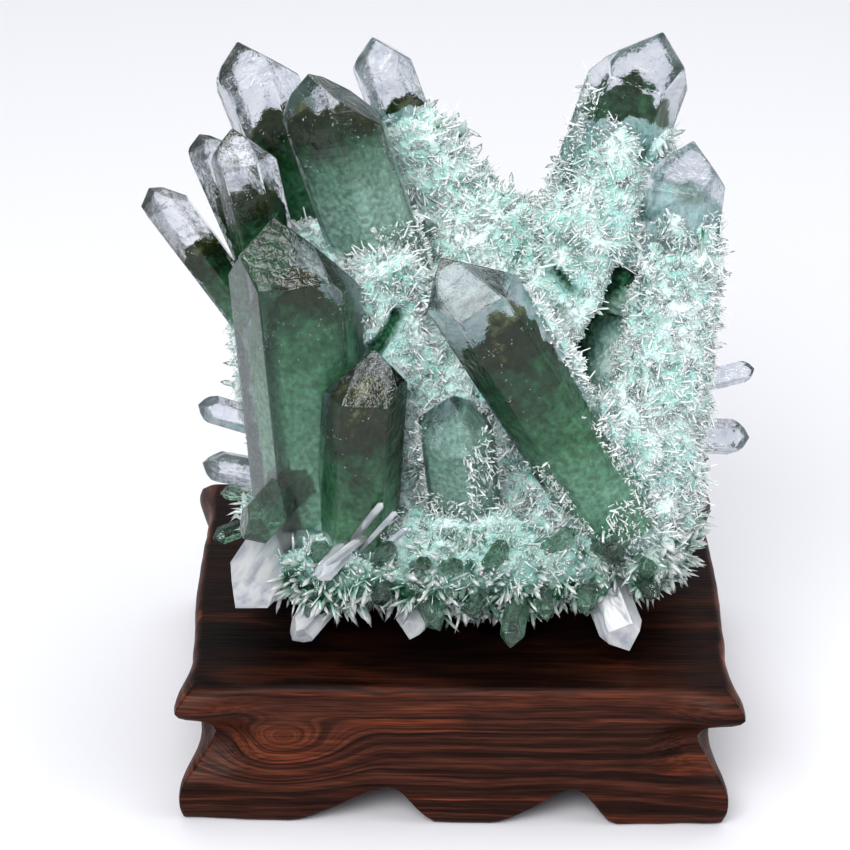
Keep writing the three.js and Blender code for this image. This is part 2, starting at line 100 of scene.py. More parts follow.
# The small points, one by one, round the lower edge and up the sides.
FROSTED_POINTS = [
    dict(name="left_chunk", root=(-44, -20, 70), tip=(-58, -36, 54), width=15, flat=0.8, turn=30, minor=0.3),
    dict(name="left_blade", root=(-26, -22, 60), tip=(-43, -39, 46), width=8, flat=0.7, turn=10, minor=0.2),
    dict(name="right_foot", root=(36, -18, 62), tip=(46, -39, 44), width=11, flat=0.8, turn=20, minor=0.3),
    dict(name="bright_bar", root=(-24, -26, 74), tip=(-36, -44, 68), width=5, flat=0.8, turn=0, minor=0.1),
    dict(name="middle_blade", root=(-10, -20, 62), tip=(-12, -38, 46), width=8, flat=0.8, turn=15, minor=0.2),
]
DARK_BLOCK = dict(
    name="dark_block", root=(-41, -22, 87), tip=(-55.5, -39, 77), width=10.5, flat=0.8, turn=20, minor=0.3)
CLEAR_BUDS = [
    dict(name="left_bud", root=(-54, -3, 92), tip=(-69, -5, 98), width=7, flat=0.9, turn=0, minor=0.2),
    dict(name="left_low_bud", root=(-54, -6, 78), tip=(-68, -8, 82), width=8, flat=0.9, turn=20, minor=0.2),
    dict(name="right_bud", root=(48, 6, 85), tip=(80, 10, 82), width=9, flat=0.9, turn=10, minor=0.2),
    dict(name="right_twig", root=(46, 8, 94), tip=(80.5, 14, 101), width=5.5, flat=0.9, turn=0, minor=0.2),
]

# Bright laths that lean on the front left points.
LATHS = [
    dict(name="lath_left", root=(-29, -32, 71), tip=(-19.5, -38.5, 88), width=1.9, flat=0.7, turn=10, minor=0.1),
    dict(name="lath_middle", root=(-26, -33, 69.5), tip=(-16, -38.5, 85.5), width=1.5, flat=0.7, turn=20, minor=0.1),
    dict(name="lath_right", root=(-23, -34, 68), tip=(-13, -38, 80.5), width=1.8, flat=0.7, turn=0, minor=0.1),
    dict(name="lath_bar", root=(-24, -33, 75), tip=(-37, -43.5, 69), width=2.6, flat=0.7, turn=15, minor=0.1),
]

# The bed and the coated crystals, out to the ends of most of their needles. A lump is an
# ellipsoid and a coat a tapering rod with round ends.
LUMPS = {
    "base": dict(at=(1, 3, 62), radii=(62, 39, 26)),
    "apron": dict(at=(4, -14, 63), radii=(55, 29, 20)),
    "left_collar": dict(at=(-30, -21, 63), radii=(25, 21, 18)),
    "core": dict(at=(1, 5, 92), radii=(52, 30, 46)),
    "left_shoulder": dict(at=(-37, 8, 108), radii=(27, 20, 42)),
    "right_of_middle": dict(at=(36, -9, 80), radii=(27, 21, 36)),
    "notch_floor": dict(at=(8, 18, 126), radii=(24, 17, 29)),
    "leaning_foot": dict(at=(48, -20, 64), radii=(15, 15.5, 15.5)),
}
NEEDLE_ROOM = 4.2  # how far the bed lies inside a lump
COAT_ROOM = 1.8  # and inside a coat that names no room of its own
COATS = {
    "saddle": dict(start=(12, 24, 120), end=(-13, 33, 158), low=18, high=13),
    "right_tall": dict(start=(22, 8, 100), end=(41, 14, 165), low=20, high=13.5, room=1.0),
    "right_outer": dict(start=(49, -4, 64), end=(57, 2, 148), low=17, high=10.5, room=0.3),
    "white_mound": dict(start=(-13, -8, 94), end=(-20, -6, 134), low=15, high=12),
    "leaning_side": dict(start=(49, -16, 76), end=(14, -20, 136), low=10.5, high=7),
}
# Stout little points round the lower edge: angles from +X towards +Y, heights from -1 to 1.
RIM = [
    dict(on="base", start=-15, end=195, low=-0.6, high=0.2, count=14),
    dict(on="apron", start=195, end=345, low=-0.55, high=0, count=11),
    dict(on="apron", start=200, end=340, low=0.1, high=0.7, count=9),
]
RIM_SEED = 71
RIM_WIDTH = 3.4  # the slimmest; the stoutest has twice that
RIM_FLAT = 0.85
RIM_CLEARANCE = 1

# Clefts in the crust, darkened with painted shade, from one end to the other, and how wide and deep they are.
CLEFTS = [
    dict(start=(42.5, 2.5, 135), end=(38.5, -1, 123), width=2.2, depth=7),
    dict(start=(38.5, -1, 123), end=(34.5, -6, 112), width=3.6, depth=11),
    dict(start=(-16, -15, 130), end=(-23, -16.5, 120), width=1.9, depth=4),
    dict(start=(23.5, -1.8, 137.5), end=(29, -1.2, 132.5), width=1.3, depth=4),
    dict(start=(19.5, -22, 89), end=(22.5, -21, 87), width=2.0, depth=4),
]
CLEFT_SLAB = np.array((1, 0.3, 1))  # a cleft runs on inwards, so depth counts for less
# Where the needles are whitest or, with an amount below 0, greenest.
SNOW = [
    dict(at=(-19, -12, 136), reach=18),
    dict(at=(2, 30, 153), reach=18),
    dict(at=(-3, -19, 110), reach=13),
    dict(at=(53, -14, 100), reach=20),
    dict(at=(55, -8, 138), reach=16),
    dict(at=(22, -14, 116), reach=12),
    dict(at=(30, 4, 162), reach=12),
    dict(at=(50, -24, 80), reach=14),
    dict(at=(40, -31, 66), reach=13),
    dict(at=(57, -9, 98), reach=15, amount=-0.45),
]
SNOW_AMOUNT = 0.6

# Needles on the sides of single points: from one share of the length to another, on the faces
# that look this way.
SIDE_COATS = [
    dict(on="front_leaning", start=0.0, end=0.45, way=(0.75, 0.3, 0.5)),
    dict(on="front_leaning", start=0.0, end=0.34, way=(-0.7, -0.1, -0.6)),
    dict(on="front_leaning", start=0.0, end=0.17, way=(0, -1, 0)),
    dict(on="back_left_giant", start=0.0, end=0.82, way=(0.95, 0.1, 0.2)),
    dict(on="back_left_giant", start=0.0, end=0.22, way=(0, -1, 0)),
    dict(on="front_stub", start=0.0, end=0.86, way=(-1, 0, 0)),
    dict(on="front_stub", start=0.0, end=0.8, way=(1, 0.1, 0)),
    dict(on="front_stub", start=0.0, end=0.42, way=(0, -1, 0)),
    dict(on="front_left_twin", start=0.0, end=0.3, way=(1, -0.3, 0)),
    dict(on="right_tall", start=0.0, end=0.82, way=(-0.9, 0.2, 0.2)),
    dict(on="right_tall", start=0.0, end=0.76, way=(-0.3, -1, 0)),
    dict(on="back_left_lookout", start=0.0, end=0.4, way=(0.2, 0.9, 0)),
    dict(on="top_small", start=0.0, end=0.45, way=(0.5, -0.8, 0)),
]

# The kinds of needle: how many are tried on the bed and on the crystals, the share of them left
# in the pockets and along the lower edge, the faces round one and the share of it that tapers.
# A length or width is the least, the spread and a power that makes most of them small.
NEEDLES = [
    dict(name="needle_felt", on_bed=76000, on_crystals=60000, in_pockets=0.1, at_edge=0.12, sides=3, taper=0.15,
         length=(0.9, 1.7, 1.5), width=(0.3, 0.34, 1), fan=0.9, stray=0.9, sink=0.5, per_piece=19500),
    dict(name="needle_crust", on_bed=14000, on_crystals=7000, in_pockets=0.1, at_edge=0.2, sides=4, taper=0.12,
         length=(2.2, 3.6, 2.2), width=(0.4, 0.4, 2), fan=1.0, stray=0.55, sink=0.5, per_piece=14000),
    dict(name="clear_laths", on_bed=3000, on_crystals=800, in_pockets=0.5, at_edge=1, sides=6, taper=0.25,
         length=(3.0, 4.0, 1), width=(0.8, 1.2, 1.5), fan=0.9, stray=0.7, sink=1.0, per_piece=9000),
    dict(name="edge_blades", on_bed=12000, sides=5, taper=0.3,
         length=(3.5, 5.0, 1.3), width=(0.8, 1.2, 1.4), fan=0.9, stray=0.6, sink=1.2, per_piece=9000),
]
NEEDLE_FLAT = 0.7

# The dust of the phantoms.
DUST_VOXEL = 0.9
DUST_SKIN = 0.7  # clear quartz over a phantom, at least
DUST_ROUNDING = 7  # rounds of smoothing
DUST_RELIEF = 1.6
MOSS_DEPTH = 22  # the dust is lumpy this far down from its top
AGE_LENGTH = 70
FADE = 70
MILK = 0.05
MILK_START = 42
BED_VOXEL = 1.1

# The stand, and its outward profile against height from the foot (0) to the top (1).
CORNER_PROFILE = [(0, 0.4), (0.14, 1.7), (0.27, 0.6), (0.4, -3.8), (0.55, -7.6), (0.67, -4.8), (0.77, 0.6),
                  (0.86, 3.4), (0.94, 1), (1, -1.4)]
FRONT_PROFILE = [(0, 1), (0.15, 1.4), (0.4, -1.4), (0.6, -2.2), (0.85, -1.2), (0.95, -1.2), (1, -2.2)]
SIDE_PROFILE = [(0, -5), (0.3, -5), (0.6, -3.6), (0.85, -2.2), (0.95, -2.2), (1, -3.2)]
STAND_WIDTH = 148
STAND_DEPTH = 111
STAND_LEAN = 1.4
SIDE_BULGE = 0.13
FRONT_BULGE = 0.03
ARCH_HEIGHT = 10.5
SIDE_ARCH_WIDTH = 58
SIDE_ARCH_FLARE = 16
FRONT_ARCHES = [(-45, -4.6), (10, 44.5)]
EDGE_ROUND = 1.3
STAND_STRIPS = (71, 53, 27)
STRIP_CROWDING = 1.25
CHISEL_MARKS = 0.35
KNOT = (-0.045, -0.058, 0.021)

rng = np.random.default_rng(7)


def linear(code):
    """A colour written as sRGB hex, as the linear values that sockets take."""
    parts = [int(code[i:i + 2], 16) / 255 for i in (0, 2, 4)]
    return tuple(c / 12.92 if c < 0.04045 else ((c + 0.055) / 1.055) ** 2.4 for c in parts) + (1.0,)


def node(material, kind, inputs=None, **settings):
    """Adds one shader node, with its settings, and with its inputs set or linked."""
    made = material.node_tree.nodes.new("ShaderNode" + kind)
    for name, value in settings.items():
        setattr(made, name, value)
    for name, value in (inputs or {}).items():
        socket = made.inputs[name]
        if isinstance(value, bpy.types.NodeSocket):
            material.node_tree.links.new(value, socket)
        else:
            socket.default_value = value
    return made


def ramp(material, factor, stops):
    """A colour ramp from positions to hex colours."""
    made = node(material, "ValToRGB", {"Fac": factor})
    elements = made.color_ramp.elements
    while len(elements) < len(stops):
        elements.new(0.5)
    for element, (position, code) in zip(elements, stops):
        element.position = position
        element.color = linear(code)
    return made.outputs["Color"]


def attribute(material, name, socket="Fac"):
    return node(material, "Attribute", attribute_name=name).outputs[socket]


def here_on(material):
    return node(material, "TexCoord").outputs["Object"]


def stretched(material, vector, scale):
    return node(material, "Mapping", {"Vector": vector, "Scale": scale}).outputs["Vector"]


def clouds(material, vector, scale=1.0, detail=2.0, roughness=0.5, socket="Fac"):
    made = node(material, "TexNoise", {
        "Vector": vector, "Scale": scale, "Detail": detail, "Roughness": roughness})
    return made.outputs[socket]


def bumps(material, height, strength, distance, over=None):
    inputs = {"Height": height, "Strength": strength, "Distance": distance}
    if over:
        inputs["Normal"] = over
    return node(material, "Bump", inputs).outputs["Normal"]


def worked(material, operation, a, b, clamp=False):
    return node(material, "Math", {0: a, 1: b}, operation=operation, use_clamp=clamp).outputs[0]


def offset(material, operation, a, b):
    return node(material, "VectorMath", {0: a, 1: b}, operation=operation).outputs[0]


def times(material, colour, factor):
    return node(material, "VectorMath", {0: colour, "Scale": factor}, operation="SCALE").outputs[0]


def rescaled(material, value, low, high, to_low=0.0, to_high=1.0, **settings):
    """Takes a value from one range to another."""
    limits = {"From Min": low, "From Max": high, "To Min": to_low, "To Max": to_high}
    return node(material, "MapRange", {"Value": value, **limits}, **settings).outputs[0]


def blended(material, factor, first, second):
    return node(material, "Mix", {0: factor, 6: first, 7: second}, data_type="RGBA").outputs[2]


def new_material(name):
    material = bpy.data.materials.new(name)
    material.use_nodes = True
    material.node_tree.nodes.clear()
    return material


def finished(material, surface, absorbed=None, density=0.0):
    """Ends a material with these shader sockets, and with the colour that it leaves of the light
    on its way through."""
    shader = node(material, "BsdfPrincipled", surface)
    output = node(material, "OutputMaterial", {"Surface": shader.outputs[0]})
    if absorbed:
        volume = node(material, "VolumeAbsorption", {"Color": linear(absorbed), "Density": density})
        material.node_tree.links.new(volume.outputs[0], output.inputs["Volume"])
    return material


def clear_quartz():
    """Natural rock crystal with bright, slightly stepped growth faces: water-clear, with a cold
    grey breath that gathers near the tips."""
    m = new_material("clear_quartz")
    along = attribute(m, "growth", "Vector")
    steps = clouds(m, stretched(m, along, (0.1, 0.1, 1.0)), detail=3.0)
    hills = clouds(m, along, scale=0.32, detail=4.0, roughness=0.6)
    stepped = bumps(m, steps, strength=0.3, distance=0.0005)
    breath = clouds(m, along, scale=0.22, detail=5.0, roughness=0.62)
    smoke = worked(m, "MULTIPLY", breath, attribute(m, "near_tip"))
    return finished(m, {
        "Base Color": ramp(m, smoke, [
            (0.0, "ffffff"), (0.2, "fdfdff"), (0.42, "eff2f6"), (0.55, "dde2ea"), (0.66, "bcc4d0")]),
        "Roughness": 0.02, "IOR": QUARTZ_IOR, "Specular IOR Level": 0.2, "Transmission Weight": 1.0,
        "Normal": bumps(m, hills, strength=0.5, distance=0.0011, over=stepped),
    }, absorbed="cdd3dd", density=7.0)


def milky_quartz():
    """Rock crystal with a thin milk of tiny bubbles just under its faces, which turns them a pale
    lavender grey."""
    m = new_material("milky_quartz")
    along = attribute(m, "growth", "Vector")
    hills = clouds(m, along, scale=0.25, detail=3.0)
    milk = clouds(m, along, scale=0.28, detail=5.0, roughness=0.65)
    return finished(m, {
        "Base Color": ramp(m, milk, [(0.3, "dde5e8"), (0.5, "eff4f6"), (0.7, "fdfeff")]),
        "Roughness": 0.03, "IOR": QUARTZ_IOR, "Specular IOR Level": 0.4, "Transmission Weight": 0.9,
        "Normal": bumps(m, hills, strength=0.07, distance=0.0008),
    }, absorbed="cdd3dd", density=7.0)


def frosted_quartz():
    """The small points round the foot: quartz full of fine veils, so it catches the light as
    white more than it lets it through."""
    m = new_material("frosted_quartz")
    veils = clouds(m, stretched(m, attribute(m, "growth", "Vector"), (0.3, 0.3, 0.1)), detail=3.0)
    return finished(m, {
        "Base Color": ramp(m, veils, [(0.36, "c9cdd6"), (0.5, "eef0f5"), (0.6, "ffffff")]),
        "Roughness": 0.05, "IOR": QUARTZ_IOR, "Transmission Weight": 0.6,
        "Normal": bumps(m, veils, strength=0.4, distance=0.0009),
    })


def green_rim_quartz():
    """Stout little points of the lower edge, bottle green from the dust they grew through."""
    m = new_material("green_rim_quartz")
    hills = clouds(m, attribute(m, "growth", "Vector"), scale=0.6, detail=3.0)
    return finished(m, {
        "Base Color": linear("cfe9dc"), "Roughness": 0.03, "IOR": QUARTZ_IOR, "Transmission Weight": 0.96,
        "Normal": bumps(m, hills, strength=0.5, distance=0.0008),
    }, absorbed="5fb08a", density=170.0)


def inner_flecks():
    """Tiny bubbles and cracks inside the crystals, bright white where they catch the light."""
    m = new_material("inner_flecks")
    colour = ramp(m, attribute(m, "tone"), [(0.0, "c6ccd6"), (0.6, "e6e9f0"), (1.0, "ffffff")])
    return finished(m, {"Base Color": colour, "Roughness": 0.4, "Specular IOR Level": 0.0})


def phantom_dust():
    """Chlorite dust that settled on an older crystal before clear quartz grew over it: nearly
    black moss green on top, then bottle green, with milky clouds where the dust thins out."""
    m = new_material("phantom_dust")
    depth, milk = attribute(m, "depth"), attribute(m, "milk")
    here = here_on(m)
    drifts = clouds(m, here, scale=170.0, detail=5.0, roughness=0.65)
    grains = clouds(m, here, scale=700.0)
    drift = worked(m, "MULTIPLY", worked(m, "SUBTRACT", drifts, 0.5), 0.5)
    colour = ramp(m, worked(m, "ADD", depth, drift), [
        (0.0, "6b7350"), (0.04, "343e20"), (0.12, "243820"), (0.2, "2f5f3c"),
        (0.32, "46825a"), (0.55, "64a07c"), (0.8, "72aa88"), (1.0, "78ac8c"),
    ])
    shown = worked(m, "ADD", rescaled(m, drifts, 0.46, 0.7, 0.0, 0.35), milk, clamp=True)
    milky = worked(m, "MULTIPLY", shown, rescaled(m, depth, 0.14, 0.42))
    cloudy = ramp(m, milk, [(0.0, "84b598"), (0.5, "98c8b0"), (0.75, "a8cabb")])
    body = blended(m, milky, colour, cloudy)
    return finished(m, {
        "Base Color": times(m, body, rescaled(m, grains, 0.35, 0.7, 0.7, 1.35)),
        "Roughness": 0.8, "Specular IOR Level": 0.0,
        "Normal": bumps(m, grains, strength=0.6, distance=0.0008),
    })


def green_bed():
    """The matted foot of the needle crust: mint where the needles crowd, and near-black green in the
    clefts, the pockets and along the lower edge, which is painted shade over chlorite green."""
    m = new_material("green_bed")
    here = here_on(m)
    patches = clouds(m, here, scale=110.0, detail=4.0, roughness=0.7)
    fine = node(m, "TexVoronoi", {"Vector": here, "Scale": 700.0}).outputs["Distance"]
    mint = ramp(m, patches, [(0.34, "8cc6bb"), (0.48, "b9e0da"), (0.62, "e6f6f4")])
    # Painted shade: near-black greens for the clefts, the pockets and the lower edge.
    deep = ramp(m, patches, [(0.34, "0c2015"), (0.5, "1d4a31"), (0.66, "4a8b69")])
    return finished(m, {
        "Base Color": blended(m, attribute(m, "shade"), mint, deep), "Roughness": 0.35,
        "Specular IOR Level": 0.3, "Normal": bumps(m, fine, strength=0.9, distance=0.0009),
    })


def needle_quartz():
    """Needle quartz: glassy laths, mint where they leave the green bed and frost-white at the
    tips, with a hard glint along their edges."""
    m = new_material("needle_quartz")
    reach = attribute(m, "reach")
    pale = ramp(m, reach, [(0.0, "d6f1ee"), (0.4, "edf9f8"), (0.9, "ffffff")])
    green = ramp(m, reach, [(0.0, "4a9a7d"), (0.5, "94d4c2"), (1.0, "d8f3ec")])
    # The moss attribute also holds painted shade: darker green in the clefts.
    mixed = blended(m, attribute(m, "moss"), pale, green)
    shade = rescaled(m, attribute(m, "tone"), 0.0, 1.0, 0.93, 1.0)
    return finished(m, {
        "Base Color": times(m, mixed, shade), "Roughness": 0.2, "Specular IOR Level": 0.3,
        "Subsurface Weight": 0.8, "Subsurface Radius": (1.0, 1.0, 1.0), "Subsurface Scale": 0.0006,
    })


def clear_laths_quartz():
    """The stouter laths among the needles, clear enough to sparkle."""
    m = new_material("clear_laths_quartz")
    # The moss attribute also holds painted shade: darker green in the clefts.
    colour = ramp(m, attribute(m, "moss"), [(0.0, "f7fbfa"), (0.5, "cfe7dc"), (1.0, "86bfa3")])
    return finished(m, {
        "Base Color": colour, "Roughness": 0.03, "IOR": QUARTZ_IOR, "Transmission Weight": 0.88})


def green_blades():
    """Short quartz blades of the lower edge, clear but stained with green dust."""
    m = new_material("green_blades")
    stain = worked(m, "MULTIPLY", attribute(m, "tone"), 0.55)
    far = worked(m, "ADD", attribute(m, "reach"), stain)
    colour = ramp(m, far, [(0.0, "1d6a44"), (0.3, "5fae88"), (0.6, "d5efe5"), (1.0, "ffffff")])
    return finished(m, {
        "Base Color": colour, "Roughness": 0.05, "IOR": QUARTZ_IOR, "Transmission Weight": 0.55})


def dark_hardwood():
    """Oiled hardwood, nearly black, with red-brown growth bands that the carving cuts into
    contour lines, a knot at the left front, fine pores along the grain, a rubbed shine, and painted
    shade on the flat top."""
    m = new_material("dark_hardwood")
    here = here_on(m)
    # The bands bulge round a knot just inside the left front corner.
    to_knot = offset(m, "MULTIPLY", offset(m, "SUBTRACT", here, KNOT), (55.0, 45.0, 110.0))
    far = node(m, "VectorMath", {0: to_knot}, operation="LENGTH").outputs["Value"]
    bulge = rescaled(m, far, 0.0, 1.6, 1.0, 0.0, interpolation_type="SMOOTHSTEP")
    warp = clouds(m, stretched(m, here, (9.0, 22.0, 30.0)), detail=3.0, socket="Color")
    bent = offset(m, "ADD", here, times(m, warp, 0.012))
    lift = times(m, node(m, "CombineXYZ", {"Z": bulge}).outputs[0], 0.014)
    rings_at = offset(m, "ADD", bent, lift)
    layers = clouds(m, stretched(m, rings_at, (7.0, 90.0, 620.0)), detail=4.0, roughness=0.62)
    zones = clouds(m, stretched(m, rings_at, (14.0, 40.0, 120.0)))
    pores = clouds(m, stretched(m, here, (70.0, 1500.0, 1500.0)))
    bands = ramp(m, layers, [
        (0.0, "160c09"), (0.38, "25130d"), (0.47, "351c14"), (0.56, "46271d"),
        (0.64, "4e2c21"), (0.72, "311a13"), (1.0, "1b0e0a"),
    ])
    warm = ramp(m, layers, [
        (0.0, "1b0e0a"), (0.42, "331b13"), (0.52, "5a2d1c"), (0.6, "8a4a2e"), (0.68, "552a1b"), (1.0, "23120d"),
    ])
    heat = rescaled(m, zones, 0.5, 0.66, 0.0, 0.85)
    hot = worked(m, "ADD", heat, worked(m, "MULTIPLY", bulge, 0.5), clamp=True)
    streaked = times(m, blended(m, hot, bands, warm), rescaled(m, pores, 0.3, 0.7, 0.55, 1.35))
    # Painted shade: the flat top is darkened for the cluster's shadow on it and for the light that comes from the
    # front.
    facing = node(m, "NewGeometry").outputs["Normal"]
    up = node(m, "SeparateXYZ", {"Vector": facing}).outputs["Z"]
    painted_top_shade = rescaled(m, up, 0.75, 0.97, 1.0, 0.26)
    grain = bumps(m, pores, strength=0.35, distance=0.0004)
    return finished(m, {
        "Base Color": times(m, streaked, painted_top_shade), "Roughness": 0.42, "Specular IOR Level": 0.1,
        "Coat Weight": 0.03, "Coat Roughness": 0.2,
        "Normal": bumps(m, layers, strength=0.3, distance=0.0006, over=grain),
    })


def white_paper():
    """The plain sheet that the part stands on."""
    m = new_material("white_paper")
    return finished(m, {"Base Color": linear("dcdce0"), "Roughness": 0.9, "Specular IOR Level": 0.1})


def linked(name, mesh):
    made = bpy.data.objects.new(name, mesh)
    bpy.context.scene.collection.objects.link(made)
    return made


def as_object(name, bm, material):
    """Turns a bmesh in millimetres into an object of the cluster or the stand."""
    bmesh.ops.transform(bm, matrix=Matrix.Scale(MM, 4), verts=bm.verts)
    mesh = bpy.data.meshes.new(name)
    bm.to_mesh(mesh)
    bm.free()
    mesh.materials.append(material)
    return linked(name, mesh)


def applied(made):
    """Works an object's modifiers into its mesh."""
    graph = bpy.context.evaluated_depsgraph_get()
    graph.update()
    mesh = bpy.data.meshes.new_from_object(made.evaluated_get(graph))
    made.modifiers.clear()
    old = made.data
    made.data = mesh
    bpy.data.meshes.remove(old)


def fused(made, voxel):
    """Fuses the overlapping bodies of an object to one skin, and gives its new mesh."""
    fuse = made.modifiers.new("fuse", "REMESH")
    fuse.mode = "VOXEL"
    fuse.voxel_size = voxel * MM
    applied(made)
    return made.data


def read(items, key, width=1, kind=float):
    """One value or vector from each vertex, corner or face of a mesh."""
    values = np.empty(len(items) * width, kind)
    items.foreach_get(key, values)
    return values.reshape(-1, width) if width > 1 else values


def store(mesh, name, values, kind="FLOAT", domain="POINT"):
    """Keeps values on a mesh, for its material to read."""
    key = "vector" if kind == "FLOAT_VECTOR" else "value"
    mesh.attributes.new(name, kind, domain).data.foreach_set(key, values.astype(np.float32).ravel())


def unit(ways):
    return ways / np.linalg.norm(ways, axis=1)[:, None]


def wavy(places, scale, shift=(0, 0, 0)):
    """Smooth noise, from about -1 to 1, at each place."""
    return np.array([noise.noise(Vector(p) * scale + Vector(shift)) for p in places])


def length_of(spec):
    return (Vector(spec["tip"]) - Vector(spec["root"])).length


def axes_of(spec):
    """The long axis of a point, the direction across it and the one away from the front."""
    axis = (Vector(spec["tip"]) - Vector(spec["root"])).normalized()
    away = (Vector((0, 1, 0)) - axis * axis.y).normalized()
    return axis, away.cross(axis), away


def planes_of(spec):
    """The planes of one quartz point, as (place, outward normal): six prism faces, the root
    and six tip faces."""
    axis, across, away = axes_of(spec)
    root, apex = Vector(spec["root"]), spec.get("apex", (0, 0))
    summit = Vector(spec["tip"]) + across * apex[0] + away * apex[1]
    planes = [(root, -axis)]
    for k in range(6):
        angle = math.radians(spec["turn"] + 60 * k)
        out = across * math.cos(angle) + away * math.sin(angle)
        reach = spec["width"] / 2 * (1 - (1 - spec["flat"]) * math.sin(angle) ** 2)
        planes.append((root + out * reach, out))
        slope = out * math.cos(TIP_FACE_ANGLE) + axis * math.sin(TIP_FACE_ANGLE)
        back = spec["minor"] * spec["width"] if k % 2 else 0
        planes.append((summit + axis * back, slope))
    return planes


def plane_arrays(specs):
    """The planes of several points as normals (n, 13, 3) and offsets (n, 13)."""
    normals, offsets = [], []
    for spec in specs:
        planes = planes_of(spec)
        normals.append([tuple(n) for _, n in planes])
        offsets.append([p.dot(n) for p, n in planes])
    return np.array(normals), np.array(offsets)


def depth_outside(places, specs):
    """For each place and each point, how far outside the point it is; below 0 is inside."""
    normals, offsets = plane_arrays(specs)
    out = np.empty((len(places), len(specs)))
    for i, (n, o) in enumerate(zip(normals, offsets)):
        out[:, i] = (places @ n.T - o).max(1)
    return out


def cut_point(spec, bevel=0.0):
    """A quartz point as a bmesh: a block of the right length, cut by the point's planes."""
    DOUBLES = 0.02
    bm = bmesh.new()
    bmesh.ops.create_cube(bm, size=4 * length_of(spec), matrix=Matrix.Translation(Vector(spec["root"])))
    for place, normal in planes_of(spec):
        everything = bm.verts[:] + bm.edges[:] + bm.faces[:]
        cut = bmesh.ops.bisect_plane(
            bm, geom=everything, dist=1e-4, plane_co=place, plane_no=normal, clear_outer=True)
        rim = [e for e in cut["geom_cut"] if isinstance(e, bmesh.types.BMEdge)]
        if rim:
            bmesh.ops.edgenet_fill(bm, edges=rim)
    bmesh.ops.remove_doubles(bm, verts=bm.verts, dist=DOUBLES)
    bmesh.ops.dissolve_degenerate(bm, edges=bm.edges, dist=DOUBLES)
    bmesh.ops.recalc_face_normals(bm, faces=bm.faces)
    if bevel:
        bmesh.ops.bevel(bm, geom=bm.edges[:] + bm.verts[:], offset=bevel, segments=1, profile=0.5,
                        affect="EDGES", material=-1, clamp_overlap=True)
    return bm


def seeded(seed):
    """Repeatable numbers from 0 to 1, the same as in the part's source."""
    state = seed
    while True:
        state = state * 16807 % 2147483647
        yield state / 2147483647


def rim_points():
    """Stout little points that stick out of a lump, fanwise from one angle to the other."""
    made = []
    for index, row in enumerate(RIM):
        random = seeded(RIM_SEED + index)
        at, radii = Vector(LUMPS[row["on"]]["at"]), Vector(LUMPS[row["on"]]["radii"])
        for i in range(row["count"]):
            turn_share = (i + 0.7 * next(random)) / row["count"]
            angle = math.radians(row["start"] + (row["end"] - row["start"]) * turn_share)
            height = row["low"] + (row["high"] - row["low"]) * next(random)
            ring = math.sqrt(1 - height * height)
            way = Vector((ring * math.cos(angle), ring * math.sin(angle), height))
            place = Vector(a * b for a, b in zip(way, radii)) + at
            out = Vector(a / b for a, b in zip(way, radii)).normalized()
            sway = Vector((next(random) - 0.5, next(random) - 0.5, 0.7 * (next(random) - 0.5)))
            out = (out + sway).normalized()
            width = RIM_WIDTH + RIM_WIDTH * next(random)
            tip = place + out * width * (1 + 0.8 * next(random))
            if tip.z < REST_HEIGHT + RIM_CLEARANCE:
                continue
            made.append(dict(root=tuple(place - out * 2 * width), tip=tuple(tip), width=width, flat=RIM_FLAT,
                             turn=60 * next(random), minor=0.0))
    return made


def joined(name, specs, material, bevel, slim_bevel=None):
    """Several points fused to one solid, with narrower bevels on the slim ones."""
    SLIM = 12
    pieces = []
    for i, spec in enumerate(specs):
        edge = slim_bevel if slim_bevel and spec["width"] <= SLIM else bevel
        pieces.append(as_object(f"{name}_{i}", cut_point(spec, edge), material))
    whole = pieces[0]
    for other in pieces[1:]:
        union = whole.modifiers.new("union", "BOOLEAN")
        union.operation = "UNION"
        union.solver = "MANIFOLD"
        union.object = other
    applied(whole)
    for other in pieces[1:]:
        bpy.data.objects.remove(other)
    whole.name = name
    return whole


def mark_growth(made, specs, milky=None):
    """Gives each face the coordinates of the point that it belongs to, across, away and along
    in millimetres, so that growth lines run round each point. The faces of veiled points that
    look to the left take the milky material."""
    UNMARKED = 60  # the clear length of a point without a phantom
    mesh = made.data
    centres, facing = read(mesh.polygons, "center", 3) / MM, read(mesh.polygons, "normal", 3)
    miss = np.empty((len(centres), len(specs)))
    for i, (n, o) in enumerate(zip(*plane_arrays(specs))):
        gap = np.abs(centres @ n.T - o) + 4 * (1 - facing @ n.T)
        miss[:, i] = gap.min(1)
    owner = miss.argmin(1)
    if milky:
        mesh.materials.append(milky)
        veiled = np.array([s.get("veiled", False) for s in specs])[owner] & (facing[:, 0] < -0.5)
        mesh.polygons.foreach_set("material_index", veiled.astype(np.int32))
    frames = np.array([[tuple(v) for v in (axes_of(s)[1], axes_of(s)[2], axes_of(s)[0])] for s in specs])
    roots = np.array([s["root"] for s in specs], float)
    tips = np.array([s["tip"] for s in specs], float)
    places = read(mesh.vertices, "co", 3)[read(mesh.loops, "vertex_index", kind=int)] / MM
    of_corner = np.repeat(owner, read(mesh.polygons, "loop_total", kind=int))
    local = np.einsum("nij,nj->ni", frames[of_corner], places - roots[of_corner])
    store(mesh, "growth", local, "FLOAT_VECTOR", "CORNER")
    clear_length = [min([g[1] for g in s.get("ghosts", [])] or [UNMARKED]) + 6 for s in specs]
    down = np.einsum("ni,ni->n", frames[of_corner][:, 2], tips[of_corner] - places)
    near_tip = np.clip(2 - 1.4 * down / np.array(clear_length, float)[of_corner], 0, 1)
    store(mesh, "near_tip", near_tip, domain="CORNER")


